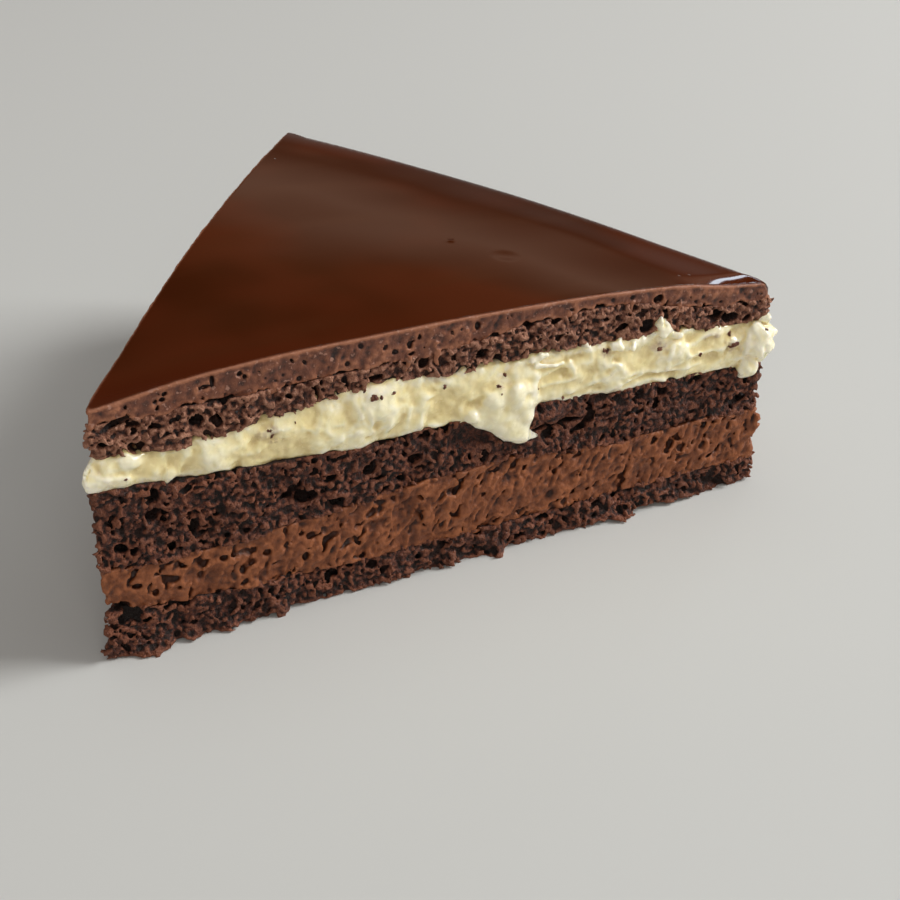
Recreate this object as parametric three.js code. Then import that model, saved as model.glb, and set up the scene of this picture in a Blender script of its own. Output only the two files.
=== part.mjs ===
import * as THREE from 'three';
import { ImprovedNoise } from 'three/addons/math/ImprovedNoise.js';
import { mergeVertices } from 'three/addons/utils/BufferGeometryUtils.js';

// A slice of layered chocolate truffle cake: sponge, mousse, sponge, cream, sponge and a
// poured ganache top. Millimetres, +Z up. The front cut runs along +X, the second cut turns
// from it by the slice's angle, and the origin is in the middle of the flat base.

// Driving dimensions, in millimetres and degrees.
const CAKE_RADIUS = 100.2; // length of each cut, from the tip to the rim
const SLICE_ANGLE = 53;
const RIM_BOW = 2.8; // how far the rim side swells past the straight line between its corners
const TIP = new THREE.Vector2(-50.4, -40.2); // the slice's pointed end, seen from the base's middle
const LAYER_GAP = 0.3; // clear space between two layers
const BASE_BEVEL = 0.5; // how far the lowest edge is rounded in

// Heights of the layer boundaries on the front cut, at even steps from the tip to the rim.
const BOUNDARY_HEIGHTS = {
  base: [0, 0],
  mousseBottom: [7.9, 6.2, 5.5, 5.2, 4.5, 4.5, 4.6, 4.7, 4.3],
  mousseTop: [13.6, 13.0, 13.4, 14.0, 14.8, 14.5, 12.6, 12.9, 12.1],
  creamBottom: [25.9, 24.5, 23.4, 22.8, 23.0, 22.5, 21.6, 20.9, 20.4],
  creamTop: [30.5, 29.4, 30.6, 31.4, 30.6, 30.3, 29.5, 28.3, 27.3],
  ganacheBottom: [34.8, 34.7, 34.3, 34.2, 34.4, 35.2, 34.9, 31.8, 30.4],
  top: [37.0, 38.4, 38.9, 38.7, 38.4, 37.8, 36.9, 35.4, 33.6],
};
// The boundaries' rises and dips turn over by the second cut: this is the phase there, in radians.
const SECOND_CUT_PHASE = 2.3;

// Cream hanging down over the sponge on the front cut. `at` is measured along the cut from the
// tip, `before` and `after` are its half widths, and `depth` is how far in from the cut it goes.
const CREAM_DRIPS = [
  { at: 59.4, before: 7, after: 3.4, drop: 5, depth: 5 },
  { at: 98, before: 3.4, after: 3.4, drop: 1.9, depth: 6 },
];

// Holes in the sponge's crumb that show on the front cut: place along it, height, size, depth.
const FRONT_HOLES = [
  { at: 8.0, height: 20.2, size: 2.4, depth: 2.2 },
  { at: 13.0, height: 17.2, size: 1.8, depth: 1.4 },
  { at: 28.0, height: 17.6, size: 2.2, depth: 1.8 },
  { at: 3.5, height: 17.0, size: 1.8, depth: 1.3 },
  { at: 66.5, height: 18.2, size: 2.6, depth: 1.5 },
  { at: 92.0, height: 28.6, size: 2.6, depth: 1.8 },
  { at: 5.0, height: 7.0, size: 2.6, depth: 1.4 },
];

// The relief that all layers share at their edges: its depth and the width of one lump.
const SHARED_RELIEF = { crag: 0.35, grain: 6 };
const NOISE_GAIN = 1.6; // makes the noise reach from -1 to 1

// The layers from the base up. `swell` is how far the layer's side stands out at its middle on
// the rim, `cutSwell` the same on the two cuts. `crag` is the depth of its rough relief and
// `grain` the width of one lump of it.
const LAYERS = [
  {
    name: 'sponge_bottom',
    from: 'base',
    to: 'mousseBottom',
    look: 'sponge',
    rows: 3,
    swell: 0.5,
    cutSwell: 0.1,
    crag: 0.75,
    grain: 3.6,
  },
  {
    name: 'mousse_layer',
    from: 'mousseBottom',
    to: 'mousseTop',
    look: 'mousse',
    rows: 4,
    swell: 0.6,
    cutSwell: 0.15,
    crag: 0.4,
    grain: 4.5,
  },
  {
    name: 'sponge_middle',
    from: 'mousseTop',
    to: 'creamBottom',
    look: 'sponge',
    rows: 6,
    swell: -0.4,
    cutSwell: 0.1,
    crag: 0.85,
    grain: 3.6,
  },
  {
    name: 'cream_layer',
    from: 'creamBottom',
    to: 'creamTop',
    look: 'cream',
    rows: 4,
    swell: 1.5,
    cutSwell: 0.55,
    crag: 0.8,
    grain: 4.8,
  },
  {
    name: 'sponge_top',
    from: 'creamTop',
    to: 'ganacheBottom',
    look: 'sponge',
    rows: 2,
    swell: -0.3,
    cutSwell: -0.15,
    crag: 0.75,
    grain: 3.4,
  },
  {
    name: 'ganache_top',
    from: 'ganacheBottom',
    to: 'top',
    look: 'ganache',
    rows: 3,
    swell: 0.3,
    cutSwell: 0.1,
    crag: 0.2,
    grain: 5,
  },
];

// Shape of the solids' nets.
const CUT_COLUMNS = 38; // steps along each cut
const RIM_COLUMNS = 34; // steps along the rim side
const COLUMNS = 2 * CUT_COLUMNS + RIM_COLUMNS;
const HIDDEN_RINGS = [0.86]; // rings across a face between two layers, as shares of the outline
const TOP_RINGS = [0.985, 0.94, 0.84, 0.68, 0.48, 0.25]; // the same across the glazed top
const BASE_RINGS = [0.98]; // the same across the flat base
const RIM_DROP = 0.9; // how much lower the glaze lies at its rounded edge on the rim side
const CUT_DROP = 0.15; // the same along the two cuts
const GLAZE_WAVE = { width: 26, height: 0.22 }; // gentle hollows in the poured top

const LOOKS = {
  sponge: { color: 0x2e1b15, roughness: 0.9, metalness: 0 },
  mousse: { color: 0x6b402b, roughness: 0.6, metalness: 0 },
  cream: { color: 0xeadcb4, roughness: 0.4, metalness: 0 },
  ganache: { color: 0x40190f, roughness: 0.12, metalness: 0 },
};

const noise = new ImprovedNoise();
const sliceAngle = THREE.MathUtils.degToRad(SLICE_ANGLE);
const middleAngle = sliceAngle / 2;

// Distance from the tip to the rim side, in the direction that makes `angle` with the front cut.
function reach(angle) {
  const turn = angle - middleAngle;
  const chord = (CAKE_RADIUS * Math.cos(middleAngle)) / Math.cos(turn);
  return chord + RIM_BOW * (1 - (turn / middleAngle) ** 2);
}

// Where a point lies in the slice: `along` from the tip to the rim and `across` from the front
// cut to the second one, both from 0 to 1. The point is measured from the tip.
function placeInSlice(point) {
  const angle = Math.atan2(point.y, point.x);
  return {
    along: THREE.MathUtils.clamp(point.length() / reach(angle), 0, 1),
    across: THREE.MathUtils.clamp(angle / sliceAngle, 0, 1),
  };
}

// A rounded bump that is 1 in its middle and 0 at its edge, where `offset` is 1 or more.
function bump(offset) {
  return Math.max(0, 1 - offset * offset);
}

// One smooth curve through each boundary's heights on the front cut.
const boundaryCurves = Object.fromEntries(
  Object.entries(BOUNDARY_HEIGHTS).map(([boundary, heights]) => {
    const points = heights.map((height, step) => new THREE.Vector2(step, height));
    return [boundary, new THREE.SplineCurve(points)];
  }),
);

// How far the cream hangs below its own layer at a point measured from the tip.
function dripAt(point) {
  let drop = 0;
  for (const drip of CREAM_DRIPS) {
    const offset = point.x - drip.at;
    const halfWidth = offset < 0 ? drip.before : drip.after;
    drop += drip.drop * bump(offset / halfWidth) * bump(Math.max(0, point.y) / drip.depth);
  }
  return drop;
}

// Height of a boundary at a point measured from the tip.
function boundaryHeight(boundary, point) {
  const { along, across } = placeInSlice(point);
  const curve = boundaryCurves[boundary];
  const height = curve.getPoint(along).y;
  const tipHeight = curve.getPoint(0).y;
  const middleHeight = curve.getPoint(0.5).y;
  const rimHeight = curve.getPoint(1).y;
  // A parabola through the heights at the tip, the middle and the rim.
  const swelling = 4 * middleHeight - 2 * (tipHeight + rimHeight);
  const trend = THREE.MathUtils.lerp(tipHeight, rimHeight, along) + swelling * along * (1 - along);
  const waves = (height - trend) * Math.cos(SECOND_CUT_PHASE * across);
  const hanging = boundary === 'creamBottom' ? dripAt(point) : 0;
  return trend + waves - hanging;
}

// The slice's outline seen from above, measured from the tip: a corner at the tip, along the
// front cut, round the rim side and back along the second cut. Each point has the direction
// that faces out of the cake there, and how much of it belongs to the rim side.
function makeOutline() {
  const frontOut = new THREE.Vector2(0, -1);
  const secondOut = new THREE.Vector2(-Math.sin(sliceAngle), Math.cos(sliceAngle));
  const outline = [];
  for (let step = 0; step < CUT_COLUMNS; step += 1) {
    const distance = (CAKE_RADIUS * step) / CUT_COLUMNS;
    const out = step === 0 ? frontOut.clone().add(secondOut).normalize() : frontOut;
    outline.push({ point: new THREE.Vector2(distance, 0), out, rimShare: 0 });
  }
  for (let step = 0; step < RIM_COLUMNS; step += 1) {
    const angle = (sliceAngle * step) / RIM_COLUMNS;
    const distance = reach(angle);
    const point = new THREE.Vector2(distance * Math.cos(angle), distance * Math.sin(angle));
    const out = new THREE.Vector2(Math.cos(angle), Math.sin(angle));
    if (step === 0) {
      out.add(frontOut).normalize();
    }
    outline.push({ point, out, rimShare: 1 });
  }
  for (let step = 0; step < CUT_COLUMNS; step += 1) {
    const distance = CAKE_RADIUS * (1 - step / CUT_COLUMNS);
    const point = new THREE.Vector2(Math.cos(sliceAngle), Math.sin(sliceAngle));
    const out = secondOut.clone();
    if (step === 0) {
      out.add(point).normalize();
    }
    outline.push({ point: point.multiplyScalar(distance), out, rimShare: step === 0 ? 1 : 0 });
  }
  return outline;
}

const outline = makeOutline();
const outlineMiddle = new THREE.Vector2();
outline.forEach((column) => outlineMiddle.addScaledVector(column.point, 1 / COLUMNS));

// Rough relief, from -1 to 1, with lumps `grain` wide.
function crags(point, height, grain) {
  return NOISE_GAIN * noise.noise(point.x / grain, point.y / grain, height / grain);
}

// How deep the holes of the front cut are at one place on it.
function holesAt(distance, height) {
  let depth = 0;
  for (const hole of FRONT_HOLES) {
    const offset = Math.hypot(distance - hole.at, height - hole.height) / hole.size;
    depth = Math.max(depth, hole.depth * bump(offset));
  }
  return depth;
}

// How far a layer's side stands out from the plain outline. At the layer's lower and upper edge
// it is the shared relief of all layers, so that two neighbours meet edge to edge.
function sideRelief(layer, column, height, share) {
  const inside = Math.sin(Math.PI * share);
  const swell = THREE.MathUtils.lerp(layer.cutSwell, layer.swell, column.rimShare);
  const shared = SHARED_RELIEF.crag * crags(column.point, height, SHARED_RELIEF.grain);
  const own = layer.crag * crags(column.point, height, layer.grain);
  const onFrontCut = column.point.y === 0 && layer.look === 'sponge';
  const hole = onFrontCut ? holesAt(column.point.x, height) : 0;
  return shared + inside * (swell + own - hole);
}

// Height of the glazed top: the boundary's own height, gentle hollows and a rounded edge.
function glazeHeight(point, ringShare, rimShare) {
  const { width, height } = GLAZE_WAVE;
  const wave = height * noise.noise(point.x / width, point.y / width, 0);
  const drop = THREE.MathUtils.lerp(CUT_DROP, RIM_DROP, rimShare);
  const edge = Math.max(0, (ringShare - TOP_RINGS[1]) / (1 - TOP_RINGS[1]));
  return boundaryHeight('top', point) + wave * (1 - edge) - drop * edge * edge;
}

// The profile that is turned into a closed net: across the lower face from the middle to the
// edge, up the side in rows, and back across the upper face. x is the share of the way from the
// middle to the outline, y the share of the layer's height.
function netProfile(lowerRings, rows, upperRings) {
  const profile = [new THREE.Vector2(0, 0)];
  [...lowerRings].reverse().forEach((share) => profile.push(new THREE.Vector2(share, 0)));
  for (let row = 0; row <= rows; row += 1) {
    profile.push(new THREE.Vector2(1, row / rows));
  }
  upperRings.forEach((share) => profile.push(new THREE.Vector2(share, 1)));
  profile.push(new THREE.Vector2(0, 1));
  return profile;
}

// One vertex of a layer, from its column on the outline and its point on the net's profile.
function layerVertex(layer, column, net) {
  const lower = layer.from === 'base' ? 0 : LAYER_GAP / 2;
  const upper = layer.to === 'top' ? 0 : LAYER_GAP / 2;
  const point = column.point.clone().sub(outlineMiddle).multiplyScalar(net.x).add(outlineMiddle);
  const floor = boundaryHeight(layer.from, point) + lower;
  const isGlaze = layer.to === 'top';
  const ceiling = isGlaze
    ? glazeHeight(point, net.x, column.rimShare)
    : boundaryHeight(layer.to, point) - upper;
  const height = THREE.MathUtils.lerp(floor, ceiling, net.y);
  const outward = sideRelief(layer, column, height, net.y) * net.x;
  const bevel = layer.from === 'base' && net.y === 0 ? BASE_BEVEL * net.x : 0;
  point.addScaledVector(column.out, outward - bevel).add(TIP);
  return new THREE.Vector3(point.x, point.y, height);
}

// Splits the lower face's quads along their other diagonal, so that its facets lie parallel to
// the upper face of the layer below. `steps` is the number of steps in the net's profile.
function matchLayerBelow(geometry, lowerSteps, steps) {
  const corners = geometry.getIndex();
  for (let column = 0; column < COLUMNS; column += 1) {
    for (let step = 0; step < lowerSteps; step += 1) {
      const start = column * (steps + 1) + step;
      const next = start + steps + 1;
      const quad = [start, next, next + 1, start, next + 1, start + 1];
      quad.forEach((corner, order) => {
        corners.setX((column * steps + step) * quad.length + order, corner);
      });
    }
  }
}

// A closed net turned by LatheGeometry, with each vertex moved to its place on the layer.
function makeLayer(layer) {
  const lowerRings = layer.from === 'base' ? BASE_RINGS : HIDDEN_RINGS;
  const upperRings = layer.to === 'top' ? TOP_RINGS : HIDDEN_RINGS;
  const profile = netProfile(lowerRings, layer.rows, upperRings);
  const turned = new THREE.LatheGeometry(profile, COLUMNS);
  const position = turned.getAttribute('position');
  for (let index = 0; index < position.count; index += 1) {
    const column = Math.floor(index / profile.length) % COLUMNS;
    const vertex = layerVertex(layer, outline[column], profile[index % profile.length]);
    position.setXYZ(index, vertex.x, vertex.y, vertex.z);
  }
  matchLayerBelow(turned, lowerRings.length + 1, profile.length - 1);
  turned.deleteAttribute('normal');
  turned.deleteAttribute('uv');
  const geometry = mergeVertices(turned);
  geometry.computeVertexNormals();
  const material = new THREE.MeshStandardMaterial({ name: layer.look, ...LOOKS[layer.look] });
  const mesh = new THREE.Mesh(geometry, material);
  mesh.name = layer.name;
  return mesh;
}

const group = new THREE.Group();
LAYERS.forEach((layer) => group.add(makeLayer(layer)));

export default group;
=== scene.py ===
import math

import bmesh
import bpy
import numpy as np
from mathutils import Matrix, Vector


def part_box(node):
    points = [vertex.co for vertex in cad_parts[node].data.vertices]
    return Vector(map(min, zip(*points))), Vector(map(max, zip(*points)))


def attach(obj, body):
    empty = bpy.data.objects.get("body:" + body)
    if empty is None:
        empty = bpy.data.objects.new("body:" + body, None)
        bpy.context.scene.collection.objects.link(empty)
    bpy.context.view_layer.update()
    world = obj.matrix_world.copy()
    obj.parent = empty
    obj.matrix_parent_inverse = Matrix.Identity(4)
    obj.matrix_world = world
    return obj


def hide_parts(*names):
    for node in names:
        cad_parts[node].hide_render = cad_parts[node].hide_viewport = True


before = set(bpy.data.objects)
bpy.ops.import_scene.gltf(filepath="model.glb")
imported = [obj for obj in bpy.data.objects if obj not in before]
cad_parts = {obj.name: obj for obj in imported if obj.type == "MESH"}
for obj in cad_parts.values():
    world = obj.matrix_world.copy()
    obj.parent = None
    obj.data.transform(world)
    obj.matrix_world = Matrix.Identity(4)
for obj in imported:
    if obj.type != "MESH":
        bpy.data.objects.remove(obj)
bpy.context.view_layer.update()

# A slice of layered chocolate truffle cake. Its pieces are worked out in millimetres, measured
# from the slice's pointed tip, with the front cut along +X, and are then moved into the frame.
# Each piece is a solid given by a depth: a number for every point in space, above 0 inside.

# --------
# The slice's size, as in the frame
# --------
CAKE_RADIUS = 100.2
SLICE_ANGLE = math.radians(53)
RIM_BOW = 2.8
TIP = np.array([-50.4, -40.2, 0.0])
MILLIMETRE = 0.001

# Heights of the layer boundaries on the front cut, at even steps from the tip to the rim.
BOUNDARY_HEIGHTS = {
    "base": [0.0, 0.0],
    "mousse_bottom": [7.9, 6.2, 5.5, 5.2, 4.5, 4.5, 4.6, 4.7, 4.3],
    "mousse_top": [13.6, 13.0, 13.4, 14.0, 14.8, 14.5, 12.6, 12.9, 12.1],
    "cream_bottom": [25.9, 24.5, 23.4, 22.8, 23.0, 22.5, 21.6, 20.9, 20.4],
    "cream_top": [30.5, 29.4, 30.6, 31.4, 30.6, 30.3, 29.5, 28.3, 27.3],
    "ganache_bottom": [34.8, 34.7, 34.3, 34.2, 34.4, 35.2, 34.9, 31.8, 30.4],
    "top": [37.0, 38.4, 38.9, 38.7, 38.4, 37.8, 36.9, 35.4, 33.6],
}
SECOND_CUT_PHASE = 2.3  # how far the boundaries' waves have turned over at the second cut

# --------
# Scattered values, the same on every run
# --------
LATTICE = 64
LATTICE_TURN = np.array(Matrix.Rotation(math.radians(38), 3, Vector((1.0, 0.7, -0.5))))
CORNERS = [(i, j, k) for i in (0, 1) for j in (0, 1) for k in (0, 1)]
tables = {}


def random_table(seed, columns):
    """A table of random numbers from 0 to 1, one row for each point of a repeating lattice."""
    if (seed, columns) not in tables:
        draw = np.random.default_rng(seed)
        tables[seed, columns] = draw.random((LATTICE**3, columns), dtype=np.float32)
    return tables[seed, columns]


def lattice_row(i, j, k):
    wrap = LATTICE - 1
    return ((i & wrap) * LATTICE + (j & wrap)) * LATTICE + (k & wrap)


def turned(x, y, z, width):
    """Points on the lattice, which is turned so that its rows don't show along the layers."""
    place = [np.asarray(value, np.float32) for value in (x, y, z)]
    return [
        sum(np.float32(share / width) * value for share, value in zip(row, place))
        for row in LATTICE_TURN
    ]


def noise(x, y, z, width, seed):
    """Smooth noise from -1 to 1, with lumps about `width` wide."""
    table = random_table(seed, 1)[:, 0]
    cells, fades = [], []
    for scaled in turned(x, y, z, width):
        cell = np.floor(scaled)
        part = scaled - cell
        cells.append(cell.astype(np.int32))
        fades.append(part * part * (3 - 2 * part))
    total = 0
    for corner in CORNERS:
        weight = 1
        for bit, fade in zip(corner, fades):
            weight = weight * (fade if bit else 1 - fade)
        row = lattice_row(*(cell + bit for cell, bit in zip(cells, corner)))
        total = total + weight * table[row]
    return 2 * total - 1


def ridges(x, y, z, width, seed):
    """Noise from -1 to 1 with sharp crests."""
    return 1 - np.abs(noise(x, y, z, width, seed)) * 2


def clots(x, y, z, width, seed):
    """Noise from 0 to 1: rounded lumps with sharp creases between them."""
    return np.abs(noise(x, y, z, width, seed))


def shifted(x, y, z, width, reach, seed):
    """Points pushed about by up to the reach, in lumps about `width` wide."""
    pushes = (noise(x, y, z, width, seed + turn) for turn in range(3))
    return [value + reach * push for value, push in zip((x, y, z), pushes)]


def pores(x, y, z, width, smallest, largest, share, seed):
    """Distance to the nearest of many scattered round pores, negative inside one."""
    table = random_table(seed, 5)
    scaled = turned(x, y, z, width)
    cells = [np.floor(value - 0.5).astype(np.int32) for value in scaled]
    nearest = None
    for corner in CORNERS:
        here = [cell + bit for cell, bit in zip(cells, corner)]
        drawn = table[lattice_row(*here)]
        squared = 0
        for axis in range(3):
            middle = here[axis] + 0.25 + 0.5 * drawn[..., axis]
            squared = squared + (middle - scaled[axis]) ** 2
        radius = smallest + (largest - smallest) * drawn[..., 3] ** 2
        radius = np.where(drawn[..., 4] < share, radius, -width)
        distance = np.sqrt(squared) * width - radius
        nearest = distance if nearest is None else np.minimum(nearest, distance)
    return nearest


# --------
# Joining depths
# --------
def smooth_min(a, b, width):
    """The lesser of two depths, with the edge between them rounded."""
    share = np.clip(0.5 + 0.5 * (b - a) / width, 0, 1)
    return b + (a - b) * share - width * share * (1 - share)


def smooth_max(a, b, width):
    return -smooth_min(-a, -b, width)


def ramp(value, start, end):
    """0 below the start, 1 above the end and even between them."""
    return np.clip((value - start) / (end - start), 0, 1)


# --------
# The slice's form
# --------
CORNER_ROUND = 1.0  # how wide the slice's upright edges are rounded
SPARE_ANGLE = math.radians(6)  # how far past the cuts the rim's curve is carried on
RIM_BLEND = 3.0  # how wide the cuts' relief fades into the rim's
RIM_LENGTH = CAKE_RADIUS * SLICE_ANGLE
NO_FEATURE = -9.0  # the depth where no feature reaches


def rim_reach(angle):
    """Distance from the tip to the rim side, in the direction of an angle from the front cut."""
    turn = angle - SLICE_ANGLE / 2
    chord = CAKE_RADIUS * math.cos(SLICE_ANGLE / 2) / np.cos(turn)
    return chord + RIM_BOW * (1 - (turn / (SLICE_ANGLE / 2)) ** 2)


class Place:
    """Where points lie in the slice, seen from above.

    A layer's depth function also leaves its `face` here: how deep each point lies below the
    layer's smooth side, without the fine relief.
    """

    def __init__(self, x, y):
        self.x, self.y = x, y
        angle = np.arctan2(y, x)
        radius = np.hypot(x, y)
        reach = rim_reach(np.clip(angle, -SPARE_ANGLE, SLICE_ANGLE + SPARE_ANGLE))
        self.along = np.clip(radius / reach, 0, 1)
        self.across = np.clip(angle / SLICE_ANGLE, 0, 1)
        second = x * math.sin(SLICE_ANGLE) - y * math.cos(SLICE_ANGLE)
        cuts = smooth_min(y, second, CORNER_ROUND)
        rim = reach - radius
        self.side = smooth_min(cuts, rim, CORNER_ROUND)
        self.rimness = np.clip((cuts - rim) / RIM_BLEND + 0.5, 0, 1)
        # The way round the slice's sides: out along the front cut, along the rim and back.
        back = 2 * CAKE_RADIUS + RIM_LENGTH - radius
        on_cut = np.where(y < second, radius, back)
        on_rim = CAKE_RADIUS + CAKE_RADIUS * np.clip(angle, 0, SLICE_ANGLE)
        self.round = on_cut + (on_rim - on_cut) * self.rimness

    def only(self, chosen):
        """The same for the chosen points alone."""
        part = object.__new__(Place)
        for name, value in vars(self).items():
            setattr(part, name, value[chosen])
        return part


def smooth_curve(heights, along):
    """A smooth curve through heights at even steps, read at shares of its length."""
    heights = np.asarray(heights)
    last = len(heights) - 1
    step = np.minimum(np.floor(along * last), last - 1).astype(int)
    part = along * last - step
    before = heights[np.maximum(step - 1, 0)]
    start = heights[step]
    end = heights[step + 1]
    after = heights[np.minimum(step + 2, last)]
    rise_in, rise_out = (end - before) / 2, (after - start) / 2
    bend = 2 * start - 2 * end + rise_in + rise_out
    lean = 3 * end - 3 * start - 2 * rise_in - rise_out
    return bend * part**3 + lean * part**2 + rise_in * part + start


def boundary(name, place):
    """Height of a layer boundary."""
    heights = BOUNDARY_HEIGHTS[name]
    tip, middle, rim = smooth_curve(heights, np.array([0.0, 0.5, 1.0]))
    swelling = 4 * middle - 2 * (tip + rim)
    trend = tip + (rim - tip) * place.along + swelling * place.along * (1 - place.along)
    waves = (smooth_curve(heights, place.along) - trend) * np.cos(SECOND_CUT_PHASE * place.across)
    return trend + waves


def spots_at(x, y, z, spots):
    """Depth of the deepest of several flattened balls on the front cut."""
    deepest = NO_FEATURE
    for at, height, half_width, half_height, depth in spots:
        reach = np.sqrt(
            ((x - at) / half_width) ** 2
            + ((z - height) / half_height) ** 2
            + (y / depth) ** 2
        )
        deepest = np.maximum(deepest, (1 - reach) * min(half_width, half_height, depth))
    return deepest


def rods_at(x, y, z, rods, flatness, out, blend):
    """Depth of several tapering rods that lie along the front cut, flattened against it."""
    deepest = NO_FEATURE
    for x0, z0, r0, x1, z1, r1 in rods:
        run, rise = x1 - x0, z1 - z0
        share = ((x - x0) * run + (z - z0) * rise) / math.hypot(run, rise) ** 2
        share = np.clip(share, 0, 1)
        radius = r0 + (r1 - r0) * share
        across = (x - x0 - share * run) ** 2 + (z - z0 - share * rise) ** 2
        distance = np.sqrt(across + ((y + out) / flatness) ** 2)
        deepest = smooth_max(deepest, radius - distance, blend)
    return deepest


# --------
# Features of the front cut: place along it, height, half width, half height, depth
# --------
SPONGE_HOLES = [
    (7.7, 20.4, 1.25, 0.95, 2.2),
    (7.7, 23.4, 0.8, 1.0, 1.8),
    (12.7, 17.1, 0.8, 1.3, 2.0),
    (12.2, 19.0, 0.5, 0.6, 1.6),
    (3.0, 16.6, 0.8, 0.7, 1.6),
    (4.6, 15.9, 0.7, 0.6, 1.5),
    (28.3, 17.2, 1.7, 0.9, 2.6),
    (27.2, 18.8, 0.5, 1.5, 2.0),
    (32.6, 15.3, 1.0, 0.7, 2.0),
    (37.2, 19.1, 1.0, 0.9, 2.2),
    (43.9, 18.8, 1.2, 0.75, 2.4),
    (42.0, 16.2, 0.7, 0.5, 1.6),
    (91.2, 29.8, 1.7, 0.65, 2.4),
    (93.6, 28.9, 1.3, 0.8, 2.4),
    (6.0, 33.9, 1.0, 0.7, 2.0),
    (6.2, 30.9, 1.2, 0.45, 1.8),
    (13.8, 32.5, 1.0, 0.9, 1.8),
    (8.6, 32.9, 0.9, 0.5, 1.6),
    (38.4, 32.5, 1.1, 0.6, 1.8),
    (45.3, 33.0, 0.8, 0.9, 1.8),
    (53.8, 32.4, 1.0, 0.8, 1.8),
    (79.4, 30.8, 1.3, 0.9, 1.8),
    (7.7, 7.0, 1.2, 0.6, 2.2),
    (10.8, 6.2, 0.9, 1.1, 1.8),
    (28.4, 5.0, 0.7, 0.5, 1.6),
    (31.5, 3.7, 1.1, 0.8, 2.2),
    (37.5, 3.7, 0.9, 0.7, 2.0),
    (64.0, 3.6, 1.2, 0.6, 1.8),
    (60.4, 1.6, 1.0, 0.6, 1.6),
]
SLIT = (65.6, 18.6, 4.6, 0.42, 3.2)
ARCH_GAP = (1.9, 7.7, 1.7, 0.8, 2.4)
PRESSED = (52.4, 20.3, 4.6, 2.5, 2.2)
SHELF = (64.6, 20.6, 4.0, 1.5, 2.4)
GANACHE_HOLES = [
    (81.1, 34.5, 0.8, 0.75, 1.4),
    (15.4, 36.8, 0.65, 0.35, 0.9),
    (16.3, 37.3, 0.35, 0.9, 0.9),
    (9.8, 36.5, 0.4, 0.35, 0.8),
    (8.9, 36.4, 0.3, 0.3, 0.7),
    (20.5, 37.1, 0.3, 0.3, 0.7),
    (43.1, 36.2, 0.4, 0.55, 0.9),
    (44.5, 37.0, 0.3, 0.35, 0.7),
    (43.4, 34.9, 0.5, 0.35, 0.9),
    (53.0, 36.7, 0.45, 0.6, 0.9),
    (69.0, 35.2, 0.7, 0.6, 1.2),
    (71.9, 35.3, 0.7, 0.45, 1.2),
]

# Rods along the front cut: place along it, height and radius at one end, then at the other.
DRIP_RODS = [
    (52.6, 23.6, 1.7, 57.4, 19.6, 1.1),
    (55.6, 24.6, 2.2, 58.6, 19.4, 1.7),
    (59.2, 25.2, 2.3, 59.7, 19.2, 1.6),
    (61.1, 27.2, 0.9, 60.7, 20.0, 0.75),
    (60.2, 18.4, 0.7, 62.3, 17.8, 0.25),
]
CREAM_FOLDS = [
    (83.7, 26.6, 0.4, 83.0, 23.0, 0.2),
    (61.6, 28.8, 0.3, 66.4, 28.2, 0.15),
]
CREAM_BLOBS = [
    (75.0, 29.0, 1.1, 0.6, 0.9),
    (76.9, 28.5, 0.9, 0.5, 0.9),
    (69.2, 30.3, 0.8, 0.25, 0.8),
    (82.4, 29.6, 1.5, 1.0, 1.2),
    (84.2, 28.6, 1.1, 0.7, 1.2),
    (81.3, 30.9, 0.35, 0.7, 0.7),
    (62.0, 29.8, 1.6, 0.6, 1.0),
    (98.6, 24.2, 3.0, 3.0, 2.2),
    (97.0, 20.6, 1.5, 1.9, 1.6),
    (99.6, 27.2, 1.1, 0.9, 1.2),
]
# Ganache dragged down over the crumb by the knife, as rods.
GANACHE_PULLS = [
    (51.2, 36.6, 0.5, 51.7, 32.4, 0.28),
    (50.4, 35.2, 0.35, 50.2, 32.2, 0.25),
    (47.0, 35.6, 0.5, 47.2, 32.0, 0.25),
    (43.2, 35.0, 0.35, 42.6, 32.8, 0.25),
    (37.0, 34.8, 0.5, 36.4, 33.0, 0.3),
    (84.6, 33.4, 0.4, 84.4, 31.4, 0.2),
    (76.8, 34.8, 0.4, 76.5, 32.8, 0.2),
]
MOUSSE_HOLES = [
    (9.1, 10.0, 1.2, 0.6, 0.6),
    (4.6, 10.4, 0.7, 0.5, 0.7),
    (6.9, 8.8, 0.5, 0.6, 0.7),
    (13.2, 9.4, 0.5, 0.8, 0.8),
    (16.4, 11.2, 0.6, 0.5, 0.7),
    (18.9, 8.6, 0.5, 0.7, 0.7),
    (22.4, 10.2, 0.6, 0.6, 0.9),
    (27.8, 8.0, 0.5, 0.8, 0.8),
]
# Where the lowest crumb leans out over the foot: place along the cut, how far, half width.
FOOT_LOBES = [
    (5.6, 1.9, 3.6),
    (11.6, 1.0, 1.4),
    (16.4, 1.1, 1.7),
    (24.0, 1.2, 1.6),
    (49.5, 0.6, 2.4),
    (56.4, 1.9, 1.7),
    (75.6, 1.3, 4.0),
]

# --------
# Depths of the layers
# --------
# Relief is written as its height times noise of a width, both in millimetres. Each noise has a
# seed of its own, counted on from its layer's.
OVERLAP = 0.3  # how far soft layers sink into the sponge beside them
FACE_LUMP = 2.6  # width of the lumps on the faces between layers
STROKE_LEAN = math.radians(30)  # the knife's strokes lean this much from upright
STROKE_WANDER = 0.6  # how far a stroke wanders, in its own widths
WANDER_LENGTH = 2.5  # how long one turn of its wandering is, in its own widths


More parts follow.
